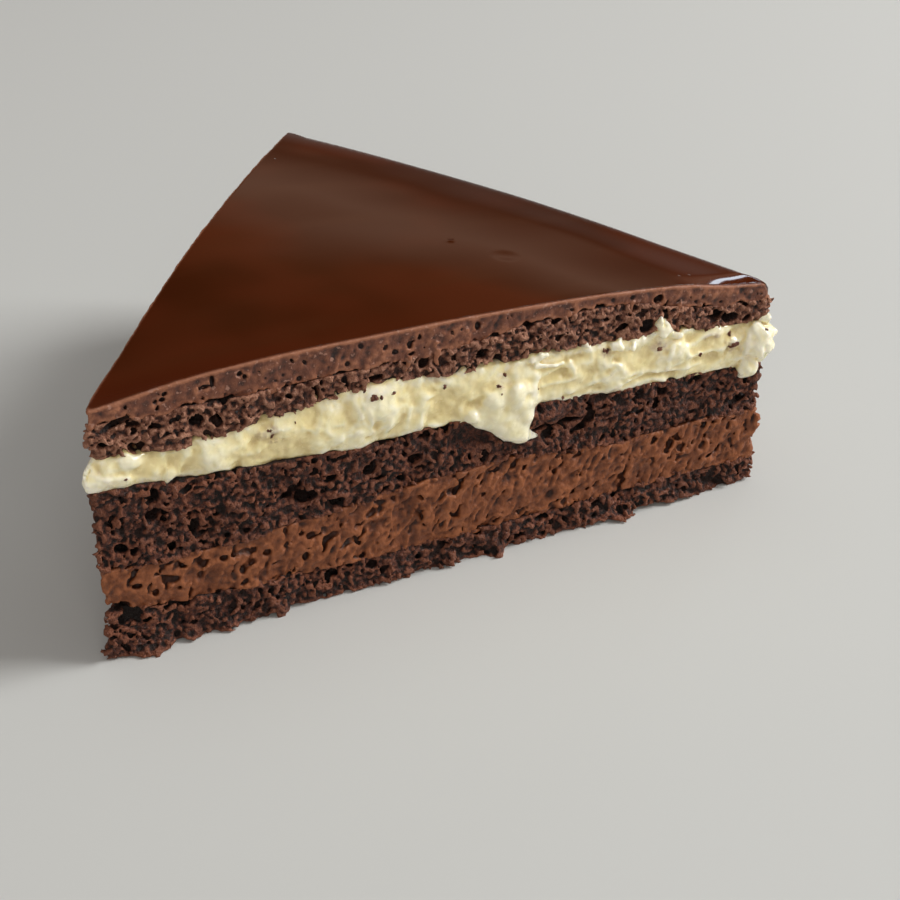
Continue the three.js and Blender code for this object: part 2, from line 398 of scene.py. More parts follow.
def slab(place, z, lower, upper, grow, ragged, seed):
    """Depth between two boundaries, which are moved apart and have uneven faces."""
    x, y = place.x, place.y
    low = boundary(lower, place)
    if lower != "base":
        low = low + ragged * noise(x, y, 0.0, FACE_LUMP, seed)
        low = low - grow
    high = boundary(upper, place) + ragged * noise(x, y, 0.0, FACE_LUMP, seed + 1)
    return np.minimum(high + grow - z, z - low)


def swell(place, z, lower, upper, on_cut, on_rim):
    """How far a layer's side stands out, most at half its height."""
    low, high = boundary(lower, place), boundary(upper, place)
    share = np.clip((z - low) / (high - low), 0, 1)
    most = on_cut + (on_rim - on_cut) * place.rimness
    return most * np.sin(math.pi * share)


def leaning(way, z):
    """Distances across and along the knife's strokes."""
    cosine, sine = math.cos(STROKE_LEAN), math.sin(STROKE_LEAN)
    return way * cosine - z * sine, way * sine + z * cosine


def strokes(place, z, width, stretch, seed):
    """Sharp crests from the knife's strokes, running up the slice's sides."""
    across, along = leaning(place.round, z)
    wander = noise(place.round, place.side, z, WANDER_LENGTH * width, seed + 1)
    across = across + STROKE_WANDER * width * wander
    return ridges(across, place.side / stretch, along / stretch, width, seed)


# How far each sponge swells at the rim, by its lower boundary.
SPONGE_ON_RIM = {"base": 0.5, "mousse_top": -0.4, "cream_top": -0.3}
# Grains of crumb: how far they stand out, how wide they are and their seed.
GRAINS = [(0.38, 1.4, 2), (0.9, 0.62, 6)]
GRAIN_MEAN = 0.29  # how far the grains stand out on average
# Pores open where noise is above a level: the level, its width, how steep they are, their seed.
SPONGE_PORES = [(0.56, 1.8, 1.8, 7), (0.47, 0.88, 0.9, 10)]
PORE_REACH = 2.0  # pores deeper in than this don't open to the side
PRESSED_CALM, SHELF_CALM = 0.85, 0.6  # how much of the relief is gone from these patches
PATCH_STEP = 0.9  # how far back the pressed patch lies, and how far out the shelf
LOBE_DEPTH = 4.0  # the placed lobes are only this near the front cut
LOBE_HEIGHTS = (0.2, 3.4)  # between these heights the lobes fade out
FOOT_GAP_REACH = 2.0  # how far in the gaps under the lowest crumb go


def foot_lobes(place, z, seed):
    """How far the lowest crumb leans out over the foot."""
    placed = sum(
        out * np.maximum(0, 1 - ((place.x - at) / half) ** 2) * (place.y < LOBE_DEPTH)
        for at, out, half in FOOT_LOBES
    )
    scattered = 0.9 * np.maximum(0, noise(place.round, 0.0, 0.0, 4.4, seed + 9))
    return (placed + scattered) * (1 - ramp(z, *LOBE_HEIGHTS)) ** 2


def foot_gap(place, seed):
    """How far the lowest crumb is lifted off the ground near the sides."""
    lifted = np.maximum(0, noise(place.x, place.y, 0.0, 4.2, seed + 9) + 0.15) * 0.5
    return lifted * np.clip(1 - place.side / FOOT_GAP_REACH, 0, 1)


def sponge_depth(place, z, lower, upper, seed):
    """Sponge: clumps and grains of crumb, with pores between them."""
    x, y = place.x, place.y
    pressed = np.clip(spots_at(x, y, z, [PRESSED]), 0, 1)
    shelf = np.clip(spots_at(x, y, z, [SHELF]), 0, 1)
    rough = 1 - np.maximum(PRESSED_CALM * pressed, SHELF_CALM * shelf)
    clumps = 0.4 * noise(x, y, z, 3.4, seed)
    swelling = swell(place, z, lower, upper, 0.1, SPONGE_ON_RIM[lower])
    side = place.side + swelling + clumps * rough
    side = side + PATCH_STEP * shelf - PATCH_STEP * pressed
    if lower == "base":
        side = side + foot_lobes(place, z, seed)
    place.face = side
    x1, y1, z1 = shifted(x, y, z, 1.1, 0.3, seed + 3)
    grains = sum(out * clots(x1, y1, z1, width, seed + turn) for out, width, turn in GRAINS)
    grains = grains + 0.2 * noise(x, y, z, 0.6, seed + 12)
    body = side + (grains - GRAIN_MEAN) * rough
    buried = np.maximum(0, place.side - PORE_REACH) + 1.2 * (1 - rough)
    holes = -spots_at(x1, y1, z1, SPONGE_HOLES + [SLIT, ARCH_GAP])
    for level, width, steepness, turn in SPONGE_PORES:
        open_at = (level - noise(x1, y1, z1, width, seed + turn)) * steepness + buried
        holes = np.minimum(holes, open_at)
    flat = slab(place, z, lower, upper, 0.2, 0.3, seed + 8)
    if lower == "base":
        flat = np.minimum(flat, z - foot_gap(place, seed))
    solid = smooth_min(body, flat, 0.12)
    return smooth_min(solid, holes, 0.1)


def mousse_depth(place, z, lower, upper, seed):
    """Mousse: the knife's strokes and pits, smoother near the tip."""
    x, y = place.x, place.y
    way, side = place.round, place.side
    calm = 0.45 + 0.55 * ramp(place.x + 2 * place.y, 18, 34)
    outer = side + swell(place, z, lower, upper, 0.1, 0.6) + 0.25 * noise(x, y, z, 5.0, seed + 1)
    place.face = outer
    relief = 0.3 * strokes(place, z, 1.1, 3.0, seed) + 0.16 * strokes(place, z, 0.6, 2.2, seed + 20)
    relief = calm * relief + 0.24 * noise(x, y, z, 1.7, seed + 2)
    outer = outer + relief + 0.2 * clots(x, y, z, 0.8, seed + 9) - 0.1
    way1, side1, z1 = shifted(way, side, z, 1.0, 0.45, seed + 3)
    lean, rise = leaning(way1, z1)
    buried = 1.2 * np.maximum(0, side - 0.5)
    small = (0.44 - noise(lean, side1, rise / 1.5, 0.8, seed + 6)) * 0.8 + buried
    large = pores(lean, side1, rise / 1.2, 3.4, 0.25, 0.7, 0.5, seed + 8) + 1.5 * buried
    pits = np.minimum(small, large)
    pits = np.minimum(pits, -spots_at(x, y, z, [ARCH_GAP] + MOUSSE_HOLES))
    flat = slab(place, z, lower, upper, OVERLAP, 0.35, seed + 6)
    return smooth_min(smooth_min(outer, flat, 0.2), pits, 0.2)


DRAG_START, DRAG_END = 60, 66  # from here to there the cream's crests turn from upright to level


def cream_depth(place, z, lower, upper, seed):
    """Cream: soft crests and dabs, with its drip, lumps and folds on the front cut."""
    x, y = place.x, place.y
    way, side, z1 = shifted(place.round, place.side, z, 3.2, 1.3, seed)
    place.face = place.side + swell(place, z, lower, upper, 0.5, 1.4)
    lumps = 0.45 * noise(x, y, z, 4.2, seed + 3)
    upright = 0.24 * ridges(way, side / 2, z1 / 1.8, 2.3, seed + 4)
    dragged = 0.34 * ridges(way / 3.2, side / 2, z1, 1.7, seed + 8)
    is_dragged = ramp(x + 0.5 * noise(x, y, z, 5.0, seed + 11), DRAG_START, DRAG_END)
    dabs = 0.34 * noise(way, side, z1, 1.8, seed + 6) + 0.1 * noise(way, side, z1, 0.8, seed + 7)
    relief = lumps + upright * (1 - is_dragged) + dragged * is_dragged + dabs - 0.1
    outer = place.face + relief
    flat = slab(place, z, lower, upper, OVERLAP, 0.45, seed + 5)
    flat = flat + 0.3 * noise(x, y, 0.0, 1.1, seed + 9)
    layer = smooth_min(outer, flat, 1.0)
    x1, y1, z2 = shifted(x, y, z, 1.6, 0.45, seed + 12)
    drip = rods_at(x1, y1, z2, DRIP_RODS, 0.62, 0.3, 0.9) + 0.35 * (upright + dabs)
    blobs = spots_at(x1, y1, z2, CREAM_BLOBS) + 0.3 * noise(x, y, z, 0.9, seed + 7)
    folds = rods_at(x1, y1, z2, CREAM_FOLDS, 0.9, 0.5, 0.2)
    layer = smooth_max(layer, drip, 0.9)
    return smooth_max(smooth_max(layer, blobs, 0.4), folds, 0.35)


GLAZE_WAVES = [(26.0, 0.22, 71), (9.0, 0.03, 72)]  # width, height and seed of the glaze's waves
# At the rim's front corner the glaze rolls over the edge: from, to, how far in and how deep.
ROLL_START, ROLL_END, ROLL_REACH, ROLL_DROP = 84.0, 93.0, 3.6, 0.55
# A dent and a bubble in the glaze: place, reach and drop.
GLAZE_MARKS = [
    (66.0, 16.3, 2.4, 0.05),
    (61.2, 23.7, 0.7, -0.06),
]


def glaze_height(place):
    height = boundary("top", place)
    for width, rise, seed in GLAZE_WAVES:
        height = height + rise * noise(place.x, place.y, 0.0, width, seed)
    rolled = ramp(place.x, ROLL_START, ROLL_END)
    rolled = rolled**2 * (3 - 2 * rolled) * np.clip(1 - place.y / ROLL_REACH, 0, 1) ** 2
    height = height - ROLL_DROP * rolled
    for x, y, reach, drop in GLAZE_MARKS:
        away = np.hypot(place.x - x, place.y - y) / reach
        height = height - drop * np.maximum(0, 1 - away**2) ** 2
    return height


def ganache_depth(place, z, lower, upper, seed):
    """Ganache: a smooth glaze over a bubbly cut, and a smooth rounded rim."""
    x, y = place.x, place.y
    rough = 1 - place.rimness
    below = glaze_height(place) - z
    place.face = place.side
    lumps = 0.2 * noise(x, y, z, 2.6, seed + 1) + 0.16 * noise(x, y, z, 0.9, seed + 2)
    pulls = 0.12 * strokes(place, z, 1.2, 3.0, seed)
    skin = 0.12 * (1 - ramp(below, 0.3, 0.6))
    calm = 0.35 + 0.65 * ramp(below, 0.3, 1.0)
    side = place.side + ((pulls + lumps) * calm + skin) * rough + 0.2 * place.rimness
    buried = 2.0 * np.maximum(0, place.side - 0.6) + 2 * place.rimness
    buried = buried + 0.6 * (1 - ramp(below, 0.3, 0.9))
    x1, y1, z1 = shifted(x, y, z, 1.0, 0.3, seed + 7)
    bubbles = pores(x1, y1, z1, 1.25, 0.14, 0.5, 0.75, seed + 3) + buried
    bubbles = np.minimum(bubbles, -spots_at(x, y, z, GANACHE_HOLES))
    low = boundary(lower, place) + 0.7 * noise(x, y, 0.0, 2.4, seed + 4)
    low = low + 0.45 * noise(x, y, 0.0, 0.9, seed + 5)
    round_edge = 0.4 + 2.6 * place.rimness
    solid = smooth_min(side, below, round_edge)
    solid = smooth_min(solid, z - low, 0.1)
    pulled = rods_at(x1, y1, z1, GANACHE_PULLS, 0.7, 0.0, 0.2)
    solid = smooth_max(solid, np.minimum(pulled, below - 0.4), 0.25)
    return smooth_min(solid, bubbles, 0.1)


# --------
# From a depth to a mesh
# --------
EDGES = [(a, b) for a in range(8) for b in range(a + 1, 8) if bin(a ^ b).count("1") == 1]
VOXEL = 0.25
DEEP = 3.2  # columns further in than this are plain
OUTER = 3.0  # how far outside the slice's plain sides a piece may reach
MARGIN = 2.2  # how far above and below its node a piece may reach
COARSE = 3.5  # size of the facets between two layers, out of sight
GLAZE_FACET = 0.9  # size of the facets of the smooth glaze
CREVICE_REACH = 0.5  # how wide a crevice is felt, for the painted shade in crevices
OPEN = -1.5  # further out than this is open air
FACE_OPEN = -0.6  # and so is what is further than this above or below a layer
BODY_START = DEEP - 0.5  # further in than this is a layer's body
FOLLOWED = 12  # how far open air and the body are followed through the grid
THIN = 0.1  # the depth given to filled hollows, and below 0 to loose scraps
LEAST_SLOPE = 0.3  # a depth flatter than this is taken to be this steep
ROW = 1000  # more than the squares in one row of a grid seen from above
GLAZE_GROUPS = 10**7  # the glaze's groups are numbered from here on
GLAZE_EDGE = 2.0  # the glaze keeps its fine facets this far in from its edge
NEIGHBOUR_DEPTH = 0.3  # further in than this, the layers above and below are taken as solid, so the painted shade darkens where layers meet
PLAIN_FACES = (0.0, 0.25, 5)  # growth, raggedness and seed of the faces out of sight
CREVICE_SHADE, SUNK_SHADE = 2.0, 0.35  # how much lying in a crevice and lying deep darken, as painted shade
SUNK_LEAST, SUNK_MOST = -0.5, 1.5  # lying further out or in than this counts no more for the painted shade
MOST_FACETS = {
    "sponge_bottom": 165000,
    "mousse_layer": 150000,
    "sponge_middle": 198000,
    "cream_layer": 140000,
    "sponge_top": 160000,
    "ganache_top": 110000,
}


def spread(seeds, room, steps):
    """Grows the seeds through the room around them, one cell a step."""
    reached = seeds & room
    for _ in range(steps):
        grown = reached.copy()
        for axis in range(3):
            after, before = np.moveaxis(grown, axis, 0), np.moveaxis(reached, axis, 0)
            after[1:] |= before[:-1]
            after[:-1] |= before[1:]
        grown &= room
        if (grown == reached).all():
            break
        reached = grown
    return reached


def fill_grid(depth, plain_depth, low, high):
    """Reads a piece's depth on a grid, without sealed hollows or loose scraps."""
    axes = [np.arange(a, b, VOXEL) for a, b in zip(low, high)]
    x, y = (value.reshape(-1, 1) for value in np.meshgrid(axes[0], axes[1], indexing="ij"))
    z = axes[2][None, :]
    place = Place(x, y)
    side = place.side[:, 0]
    near = (side > -OUTER) & (side < DEEP)
    deep = side >= DEEP
    field = np.full((len(side), z.size), -1.0, np.float32)
    field[near] = depth(place.only(near), z)
    field[deep] = plain_depth(place.only(deep), z)
    plain = np.full(field.shape, -1.0, np.float32)
    plain[near] = plain_depth(place.only(near), z)
    plain[deep] = field[deep]
    shape = tuple(len(axis) for axis in axes)
    field, plain = field.reshape(shape), plain.reshape(shape)
    side = np.broadcast_to(side.reshape(shape[0], shape[1], 1), shape)
    steps = int(FOLLOWED / VOXEL)
    open_air = spread((side < OPEN) | (plain < FACE_OPEN), field <= 0, steps)
    field[(field <= 0) & ~open_air] = THIN
    body = spread((side > BODY_START) & (plain > 0), field > 0, steps)
    field[(field > 0) & ~body] = -THIN
    return field, plain, side, np.array([axis[0] for axis in axes])


def surface_net(field, origin):
    """Quads around the part of the grid where the field is above 0."""
    inside = field > 0
    parts = [
        inside[tuple(slice(bit, bit + n - 1) for bit, n in zip(corner, field.shape))]
        for corner in CORNERS
    ]
    count = sum(part.astype(np.uint8) for part in parts)
    active = (count > 0) & (count < len(CORNERS))
    cells = np.argwhere(active)
    corners = np.array(CORNERS)
    values = np.stack([field[tuple((cells + corner).T)] for corner in corners], axis=1)
    total = np.zeros((len(cells), 3))
    hits = np.zeros(len(cells))
    for a, b in EDGES:
        crossing = (values[:, a] > 0) != (values[:, b] > 0)
        share = values[crossing, a] / (values[crossing, a] - values[crossing, b])
        total[crossing] += corners[a] + share[:, None] * (corners[b] - corners[a])
        hits[crossing] += 1
    points = origin + VOXEL * (cells + total / hits[:, None])
    number = np.full(active.shape, -1)
    number[active] = np.arange(len(cells))
    quads = []
    for axis in range(3):
        u, v = (axis + 1) % 3, (axis + 2) % 3
        first = [slice(1, -1)] * 3
        second = [slice(1, -1)] * 3
        first[axis], second[axis] = slice(0, -1), slice(1, None)
        start_inside = inside[tuple(first)]
        changed = np.argwhere(start_inside != inside[tuple(second)])
        flipped = ~start_inside[tuple(changed.T)]
        ring = []
        for step_u, step_v in ((0, 0), (-1, 0), (-1, -1), (0, -1)):
            cell = changed.copy()
            cell[:, u] += 1 + step_u
            cell[:, v] += 1 + step_v
            ring.append(number[tuple(cell.T)])
        quad = np.stack(ring, axis=1)
        quad[flipped] = quad[flipped][:, ::-1]
        quads.append(quad)
    return points, np.concatenate(quads)


def blurred(solid, reach):
    """Share of the space around each grid point that is solid."""
    steps = max(1, round(reach / VOXEL))
    share = solid.astype(np.float32)
    for axis in range(3):
        total = np.cumsum(share, axis=axis)
        index = np.arange(share.shape[axis])
        ahead = total.take(np.minimum(index + steps, index[-1]), axis=axis)
        behind = total.take(np.maximum(index - steps - 1, 0), axis=axis)
        share = (ahead - behind) / (2 * steps + 1)
    return share


def read_grid(grid, origin, points):
    """The grid's values at points between its own."""
    scaled = (points - origin) / VOXEL
    cell = np.clip(np.floor(scaled).astype(int), 0, np.array(grid.shape) - 2)
    part = scaled - cell
    total = 0
    for corner in CORNERS:
        weight = np.prod(np.where(corner, part, 1 - part), axis=1)
        total = total + weight * grid[tuple((cell + corner).T)]
    return total


def to_surface(points, depth, steps):
    """Moves points onto the surface where the depth is 0."""
    nudge = 0.02
    for _ in range(steps):
        def read(offset):
            moved = points + offset
            return depth(Place(moved[:, 0], moved[:, 1]), moved[:, 2])

        value = read(np.zeros(3))
        slope = np.stack([read(nudge * unit) - value for unit in np.eye(3)], axis=1) / nudge
        step = value / np.maximum((slope**2).sum(axis=1), LEAST_SLOPE)
        points = points - np.clip(step, -VOXEL, VOXEL)[:, None] * slope
    return points


def coarsen(points, triangles, group):
    """Joins the points of each group, and drops the facets that vanish. Group -1 is kept."""
    joined = group >= 0
    number = np.arange(len(points))
    _, order = np.unique(group[joined], return_inverse=True)
    total = np.zeros((order.max() + 1, 3))
    np.add.at(total, order, points[joined])
    total /= np.bincount(order)[:, None]
    number[joined] = len(points) + order
    points = np.concatenate([points, total])
    triangles = number[triangles]
    a, b, c = triangles.T
    triangles = unfolded(triangles[(a != b) & (b != c) & (c != a)], len(points))
    used, renumbered = np.unique(triangles, return_inverse=True)
    return points[used], renumbered.reshape(triangles.shape)


def unfolded(triangles, count):
    """Drops the facets that lie back to back, and keeps one of those that are the same."""
    a, b, c = np.sort(triangles, axis=1).T
    _, first, same = np.unique((a * count + b) * count + c, return_index=True, return_inverse=True)
    x, y, z = triangles.T
    facing = np.where((x < y) ^ (y < z) ^ (z < x), 1, -1)
    total = np.bincount(same.ravel(), weights=facing)
    kept = triangles[first]
    backward = facing[first] * total < 0
    kept[backward] = kept[backward][:, ::-1]
    return kept[total != 0]


def grouped(points, size):
    """Numbers the squares of a grid seen from above."""
    cell = np.floor((points[:, :2] - points[:, :2].min(axis=0)) / size).astype(int)
    return cell[:, 0] * ROW + cell[:, 1]


def make_mesh(name, points, triangles):
    mesh = bpy.data.meshes.new(name)
    mesh.vertices.add(len(points))
    mesh.loops.add(triangles.size)
    mesh.polygons.add(len(triangles))
    placed = ((points + TIP) * MILLIMETRE).astype(np.float32)
    mesh.vertices.foreach_set("co", placed.ravel())
    mesh.loops.foreach_set("vertex_index", triangles.astype(np.int32).ravel())
    mesh.polygons.foreach_set("loop_start", np.arange(0, triangles.size, 3, dtype=np.int32))
    mesh.polygons.foreach_set("use_smooth", np.ones(len(triangles), dtype=bool))
    mesh.update()
    mesh.validate()
    piece = bpy.data.objects.new(name, mesh)
    bpy.context.collection.objects.link(piece)
    return piece


def simplify(piece, most):
    """Thins out a mesh where it is flattest, down to so many facets, and gives its points."""
    count = len(piece.data.polygons)
    if count > most:
        thinning = piece.modifiers.new("thinning", "DECIMATE")
        thinning.ratio = most / count
        bpy.context.view_layer.objects.active = piece
        bpy.ops.object.modifier_apply(modifier=thinning.name)
    points = np.empty(len(piece.data.vertices) * 3, np.float32)
    piece.data.vertices.foreach_get("co", points)
    return points.reshape(-1, 3).astype(float) / MILLIMETRE - TIP


def give_values(piece, name, values):
    """Stores one number for each point of a piece, for its material to read."""
    layer = piece.data.attributes.new(name, "FLOAT", "POINT")
    layer.data.foreach_set("value", np.asarray(values, np.float32))


def make_layer(name, lower, upper, depth, refine, open_depth):
    """One layer's piece, replacing the node of the same place."""
    low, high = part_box(name)
    low = np.array(low) / MILLIMETRE - TIP - MARGIN
    high = np.array(high) / MILLIMETRE - TIP + MARGIN

    def plain(place, z):
        if upper == "top":
            return np.minimum(glaze_height(place) - z, z - boundary(lower, place))
        return slab(place, z, lower, upper, *PLAIN_FACES)

    field, plain_field, side, origin = fill_grid(depth, plain, low, high)
    middle = field.shape[2] // 2
    solid = field > 0
    # The layers above and below count as solid here, so the painted shade darkens the joins between
    # layers.
    beside = (plain_field <= 0) & (side > NEIGHBOUR_DEPTH)
    if upper != "top":
        solid[:, :, middle:] |= beside[:, :, middle:]
    if lower != "base":
        solid[:, :, :middle] |= beside[:, :, :middle]
    share = blurred(solid, CREVICE_REACH)
    points, quads = surface_net(field, origin)
    triangles = np.concatenate([quads[:, [0, 1, 2]], quads[:, [0, 2, 3]]])
    place = Place(*points.T[:2])
    is_upper = points[:, 2] > boundary(lower, place) * 0.5 + boundary(upper, place) * 0.5
    hidden = place.side > open_depth
    group = np.where(hidden, 2 * grouped(points, COARSE) + is_upper, -1)
    if upper == "top":
        glaze = 2 * grouped(points, GLAZE_FACET) + GLAZE_GROUPS
        marked = [np.hypot(place.x - x, place.y - y) < reach for x, y, reach, _ in GLAZE_MARKS]
        fine = (place.side < GLAZE_EDGE) | np.any(marked, axis=0)
        fine |= (place.y < ROLL_REACH) & (place.x > ROLL_START)
        group = np.where(is_upper, np.where(fine, -1, glaze), group)
    points, triangles = coarsen(points, triangles, group)
    if refine:
        points = to_surface(points, depth, refine)
    piece = make_mesh(name + "_visual", points, triangles)
    points = simplify(piece, MOST_FACETS[name])
    place = Place(*points.T[:2])
    depth(place, points[:, 2])
    # Painted shade: crevices, joins and points lying deep are darkened, and crumb tips and parts
    # standing out are lightened. Around a point of a flat face half the space is solid, and in a
    # crevice more.
    crevice = read_grid(share, origin, points) - 0.5
    sunk = np.clip(place.face, SUNK_LEAST, SUNK_MOST)
    painted_shade = 0.5 + CREVICE_SHADE * crevice + SUNK_SHADE * sunk
    give_values(piece, "painted_shade", np.clip(painted_shade, 0, 1))
    return piece, points


# --------
# Materials
# --------
def srgb(*levels):
    """A colour given by its levels on a screen, from 0 to 255."""
    linear = [((v / 255 + 0.055) / 1.055) ** 2.4 if v > 10 else v / 255 / 12.92 for v in levels]
    return (*linear, 1.0)


def fill_ramp(node, stops):
    """Gives a colour ramp its positions and colours. The first two take up its own two stops."""
    elements = node.color_ramp.elements
    for element, (position, colour) in zip(elements, stops):
        element.position, element.color = position, colour
    for position, colour in stops[2:]:
        elements.new(position).color = colour


class Nodes:
    """A material's node tree, built from small calls."""

    def __init__(self, name):
        self.material = bpy.data.materials.new(name)
        self.material.use_nodes = True
        self.tree = self.material.node_tree
        self.shader = self.tree.nodes["Principled BSDF"]
        where = self.new("TexCoord")
        scale = self.new("Mapping")
        scale.inputs["Scale"].default_value = [1 / MILLIMETRE] * 3
        self.tree.links.new(where.outputs["Object"], scale.inputs["Vector"])
        self.where = scale.outputs["Vector"]

    def new(self, kind):
        return self.tree.nodes.new("ShaderNode" + kind)

    def link(self, source, target):
        self.tree.links.new(source, target)

    def feed(self, source, name):
        self.link(source, self.shader.inputs[name])

    def set(self, **values):
        for name, value in values.items():
            self.shader.inputs[name.replace("_", " ")].default_value = value

    def noise(self, width, detail=3.0, stretch=(1, 1, 1)):
        mapping = self.new("Mapping")
        mapping.inputs["Scale"].default_value = [1 / (width * s) for s in stretch]
        self.link(self.where, mapping.inputs["Vector"])
        texture = self.new("TexNoise")
        texture.inputs["Scale"].default_value = 1.0
        texture.inputs["Detail"].default_value = detail
        self.link(mapping.outputs["Vector"], texture.inputs["Vector"])
        return texture.outputs["Fac"]

    def attribute(self, name):
        node = self.new("Attribute")
        node.attribute_name = name
        return node.outputs["Fac"]

    def painted_shade(self, width, amount):
        """The stored painted shade, 0 on crumb tips and 1 in crevices, scattered by noise."""
        scatter = self.math("MULTIPLY", self.math("SUBTRACT", self.noise(width), 0.5), amount)
        return self.math("ADD", self.attribute("painted_shade"), scatter)

    def between(self, value, low, high, to_low=0.0, to_high=1.0):
        node = self.new("MapRange")
        node.interpolation_type = "SMOOTHSTEP"
        self.link(value, node.inputs["Value"])
        ends = {"From Min": low, "From Max": high, "To Min": to_low, "To Max": to_high}
        for name, number in ends.items():
            node.inputs[name].default_value = number
        return node.outputs["Result"]

    def math(self, operation, first, second):
        node = self.new("Math")
        node.operation = operation
        for value, socket in zip((first, second), node.inputs):
            if isinstance(value, (int, float)):
                socket.default_value = value
            else:
                self.link(value, socket)
        return node.outputs[0]

    def mix(self, share, first, second):
        node = self.new("Mix")
        node.data_type = "RGBA"
        self.link(share, node.inputs["Factor"])
        for value, socket in ((first, node.inputs[6]), (second, node.inputs[7])):
            if isinstance(value, tuple):
                socket.default_value = value
            else:
                self.link(value, socket)
        return node.outputs[2]

    def colours(self, value, stops):
        """A colour for each value, from a row of values and their colours."""
        node = self.new("ValToRGB")
        self.link(value, node.inputs["Fac"])
        fill_ramp(node, stops)
        return node.outputs["Color"]

    def bump(self, height, distance):
        node = self.new("Bump")
        node.inputs["Distance"].default_value = distance * MILLIMETRE
        node.inputs["Strength"].default_value = 1.0
        self.link(height, node.inputs["Height"])
        return node.outputs["Normal"]


def sponge_material(name, stops, patch_colour):
    nodes = Nodes(name)
    # Colours by the painted shade: light on crumb tips and parts standing out, near black in crevices
    # and recesses.
    colour = nodes.colours(nodes.painted_shade(0.45, 0.9), stops)
    patches = nodes.between(nodes.noise(6.0, 2.0), 0.4, 0.65, 0.0, 0.3)
    colour = nodes.mix(patches, colour, patch_colour)
    nodes.feed(colour, "Base Color")
    nodes.feed(nodes.between(nodes.noise(0.5), 0.55, 0.68, 0.7, 0.18), "Roughness")
    nodes.feed(nodes.bump(nodes.noise(0.4, 3.0), 0.6), "Normal")
    nodes.set(Specular_IOR_Level=0.4)
    return nodes.material


def mousse_material():
    nodes = Nodes("mousse")
    # Colours by the painted shade: light on parts standing out, near black in pits and crevices.
    colour = nodes.colours(nodes.painted_shade(0.8, 0.4), [
        (0.20, srgb(150, 89, 52)),
        (0.42, srgb(124, 69, 36)),
        (0.58, srgb(105, 56, 28)),
        (0.84, srgb(42, 17, 8)),
    ])
    patches = nodes.between(nodes.noise(4.5, 2.0), 0.4, 0.65, 0.0, 0.35)
    colour = nodes.mix(patches, colour, srgb(109, 58, 31))
    nodes.feed(colour, "Base Color")
    nodes.feed(nodes.between(nodes.noise(1.5), 0.4, 0.7, 0.6, 0.35), "Roughness")
    nodes.feed(nodes.bump(nodes.noise(0.45, 4.0), 0.2), "Normal")
    nodes.set(Specular_IOR_Level=0.4)
    return nodes.material


def cream_material():
    nodes = Nodes("cream")
    # Colours by the painted shade: lighter on parts standing out, darker in crevices and recesses.
    colour = nodes.colours(nodes.painted_shade(2.4, 0.15), [
        (0.22, srgb(252, 244, 214)),
        (0.42, srgb(252, 240, 196)),
        (0.58, srgb(245, 230, 174)),
        (0.80, srgb(224, 206, 148)),
    ])
    # Whiter froth, and painted highlights along the cream's edges, on the drip and on the bulges at the
    # tip and the rim.
    froth_and_highlight = nodes.attribute("froth_and_highlight")
    colour = nodes.mix(froth_and_highlight, colour, srgb(252, 246, 230))
    # Brown stains, and painted shade on cream deep inside the crumb's holes.
    colour = nodes.mix(nodes.attribute("stain_and_shade"), colour, srgb(126, 80, 54))
    nodes.feed(colour, "Base Color")
    nodes.feed(nodes.between(nodes.noise(1.3), 0.4, 0.65, 0.3, 0.1), "Roughness")
    nodes.feed(nodes.bump(nodes.noise(1.6, 1.0), 0.35), "Normal")
    nodes.set(Specular_IOR_Level=0.7, Subsurface_Weight=0.5, Subsurface_Scale=0.0014)
    nodes.set(Subsurface_Radius=(1.0, 0.9, 0.65))
    return nodes.material


def ganache_material():
    nodes = Nodes("ganache")
    glazed = nodes.attribute("glazed")
    patches = nodes.noise(24.0, 2.0)
    streaks = nodes.noise(7.0, 2.0, (4, 1, 1))
    glaze = nodes.mix(nodes.between(patches, 0.4, 0.62), srgb(60, 23, 6), srgb(75, 30, 12))
    glaze = nodes.mix(nodes.between(streaks, 0.5, 0.7, 0.0, 0.35), glaze, srgb(68, 32, 14))
    # The cut's colours by the painted shade: light on tips, near black in bubbles and crevices.
    cut = nodes.colours(nodes.painted_shade(0.7, 0.6), [
        (0.20, srgb(152, 97, 68)),
        (0.40, srgb(117, 68, 45)),
        (0.55, srgb(96, 52, 34)),
        (0.74, srgb(34, 14, 9)),
    ])
    specks = nodes.between(nodes.noise(0.7, 2.0), 0.63, 0.70, 0.0, 0.6)
    cut = nodes.mix(specks, cut, srgb(178, 132, 112))
    nodes.feed(nodes.mix(glazed, cut, glaze), "Base Color")
    nodes.feed(nodes.between(glazed, 0.0, 1.0, 0.55, 0.06), "Roughness")
    rough = nodes.math("MULTIPLY", nodes.noise(0.6, 4.0), nodes.math("SUBTRACT", 1.0, glazed))
    nodes.feed(nodes.bump(rough, 0.2), "Normal")
    nodes.set(Specular_IOR_Level=0.5)
    return nodes.material


# --------
# The layers
# --------
# Whiter, frothy cream with painted highlights on its lit edges, the drip and the bulges at the tip and
# the rim, and brown stains: place along the cut, height, half width, half height.
FROTH_AND_HIGHLIGHTS = [
    (0.6, 27.0, 2.4, 3.0),
    (6.0, 25.4, 3.4, 1.0),
    (13.0, 24.6, 4.0, 1.1),
    (32.4, 30.2, 2.2, 1.4),
    (38.0, 30.8, 6.0, 0.8),
    (48.0, 30.4, 6.0, 0.7),
    (57.0, 29.4, 1.6, 2.2),
    (63.0, 29.4, 3.6, 0.9),
    (70.0, 29.4, 5.0, 0.6),
    (75.6, 28.8, 2.4, 1.1),
    (83.0, 27.6, 2.0, 3.6),
    (61.4, 22.0, 0.9, 5.0),
    (58.5, 18.2, 3.6, 0.8),
    (98.0, 24.0, 3.6, 4.4),
    (44.0, 23.3, 5.0, 0.5),
    (71.0, 21.9, 5.0, 0.5),
]
